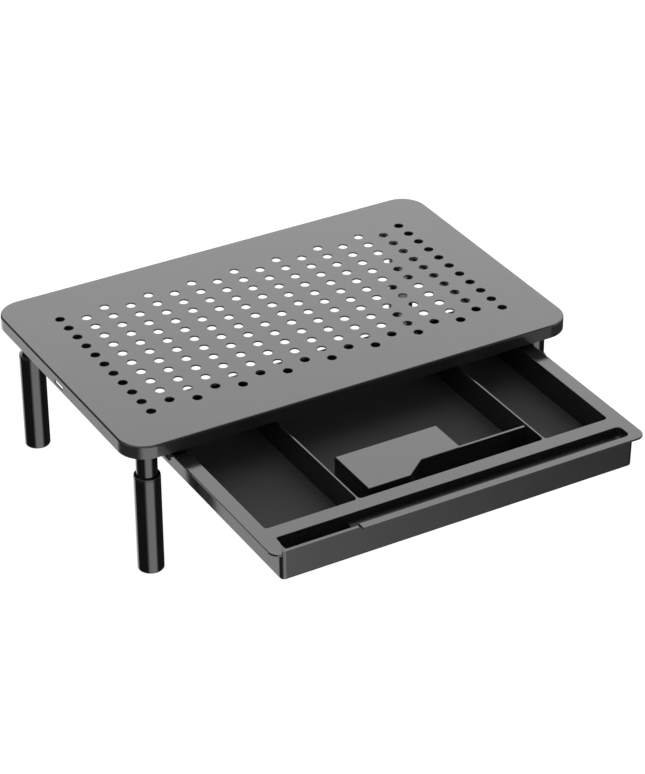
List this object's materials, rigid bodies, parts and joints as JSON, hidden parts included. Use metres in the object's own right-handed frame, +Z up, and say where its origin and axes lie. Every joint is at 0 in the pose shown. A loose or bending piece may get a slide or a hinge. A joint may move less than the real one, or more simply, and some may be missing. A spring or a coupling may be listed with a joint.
{
  "type": "monitor riser stand",
  "caption": "Perforated steel monitor riser on height-adjustable telescopic legs, with a pull-out drawer divided for desk supplies, a pen groove and a phone slot.",
  "frame": {"origin": "on the desk, straight below the middle of the deck, with the legs at their middle height setting", "axes": "+X to the right seen from the front, +Y to the back, +Z up; the drawer opens towards -Y"},
  "size_m": [0.37, 0.378, 0.116],
  "materials": {
    "deck_powder_coat": "satin black powder coat",
    "leg_gloss_coat": "gloss black coat",
    "drawer_plastic": "fine-grained black moulding",
    "rail_plastic": "smooth black moulding",
    "collar_plastic": "smooth black moulding",
    "rubber": "matt black rubber",
    "zinc_steel": "zinc plated",
    "button_nickel": "nickel plated",
    "spring_steel": "bare spring steel"
  },
  "bodies": {
    "platform": {"platform_plate": "deck_powder_coat", "rail_left": "rail_plastic", "rail_right": "rail_plastic", "rail_screws": "zinc_steel", "rail_nuts": "zinc_steel", "drawer_bumpers": "rubber", "leg_socket_front_left": "zinc_steel", "leg_socket_front_right": "zinc_steel", "leg_socket_rear_left": "zinc_steel", "leg_socket_rear_right": "zinc_steel", "leg_post_front_left": "leg_gloss_coat", "leg_post_front_right": "leg_gloss_coat", "leg_post_rear_left": "leg_gloss_coat", "leg_post_rear_right": "leg_gloss_coat", "post_glide_front_left": "collar_plastic", "post_glide_front_right": "collar_plastic", "post_glide_rear_left": "collar_plastic", "post_glide_rear_right": "collar_plastic", "button_spring_front_left": "spring_steel", "button_spring_front_right": "spring_steel", "button_spring_rear_left": "spring_steel", "button_spring_rear_right": "spring_steel"},
    "drawer": {"drawer_tray": "drawer_plastic"},
    "lower_leg_front_left": {"leg_sleeve_front_left": "leg_gloss_coat", "sleeve_collar_front_left": "collar_plastic", "foot_front_left": "collar_plastic"},
    "button_front_left": {"lock_button_front_left": "button_nickel"},
    "lower_leg_front_right": {"leg_sleeve_front_right": "leg_gloss_coat", "sleeve_collar_front_right": "collar_plastic", "foot_front_right": "collar_plastic"},
    "button_front_right": {"lock_button_front_right": "button_nickel"},
    "lower_leg_rear_left": {"leg_sleeve_rear_left": "leg_gloss_coat", "sleeve_collar_rear_left": "collar_plastic", "foot_rear_left": "collar_plastic"},
    "button_rear_left": {"lock_button_rear_left": "button_nickel"},
    "lower_leg_rear_right": {"leg_sleeve_rear_right": "leg_gloss_coat", "sleeve_collar_rear_right": "collar_plastic", "foot_rear_right": "collar_plastic"},
    "button_rear_right": {"lock_button_rear_right": "button_nickel"}
  },
  "joints": [
    {"name": "drawer_slide", "type": "slide", "parent": "platform", "child": "drawer", "axis": [0, -1, 0], "range_m": [-0.143, 0]},
    {"name": "height_front_left", "type": "slide", "parent": "platform", "child": "lower_leg_front_left", "axis": [0, 0, -1], "range_m": [-0.02, 0.02]},
    {"name": "button_press_front_left", "type": "slide", "parent": "platform", "child": "button_front_left", "axis": [0, -1, 0], "range_m": [0, 0.0018], "stiffness_N_per_m": 600, "springref_m": -0.002, "deforming": ["button_spring_front_left"]},
    {"name": "height_front_right", "type": "slide", "parent": "platform", "child": "lower_leg_front_right", "axis": [0, 0, -1], "range_m": [-0.02, 0.02]},
    {"name": "button_press_front_right", "type": "slide", "parent": "platform", "child": "button_front_right", "axis": [0, -1, 0], "range_m": [0, 0.0018], "stiffness_N_per_m": 600, "springref_m": -0.002, "deforming": ["button_spring_front_right"]},
    {"name": "height_rear_left", "type": "slide", "parent": "platform", "child": "lower_leg_rear_left", "axis": [0, 0, -1], "range_m": [-0.02, 0.02]},
    {"name": "button_press_rear_left", "type": "slide", "parent": "platform", "child": "button_rear_left", "axis": [0, -1, 0], "range_m": [0, 0.0018], "stiffness_N_per_m": 600, "springref_m": -0.002, "deforming": ["button_spring_rear_left"]},
    {"name": "height_rear_right", "type": "slide", "parent": "platform", "child": "lower_leg_rear_right", "axis": [0, 0, -1], "range_m": [-0.02, 0.02]},
    {"name": "button_press_rear_right", "type": "slide", "parent": "platform", "child": "button_rear_right", "axis": [0, -1, 0], "range_m": [0, 0.0018], "stiffness_N_per_m": 600, "springref_m": -0.002, "deforming": ["button_spring_rear_right"]}
  ]
}
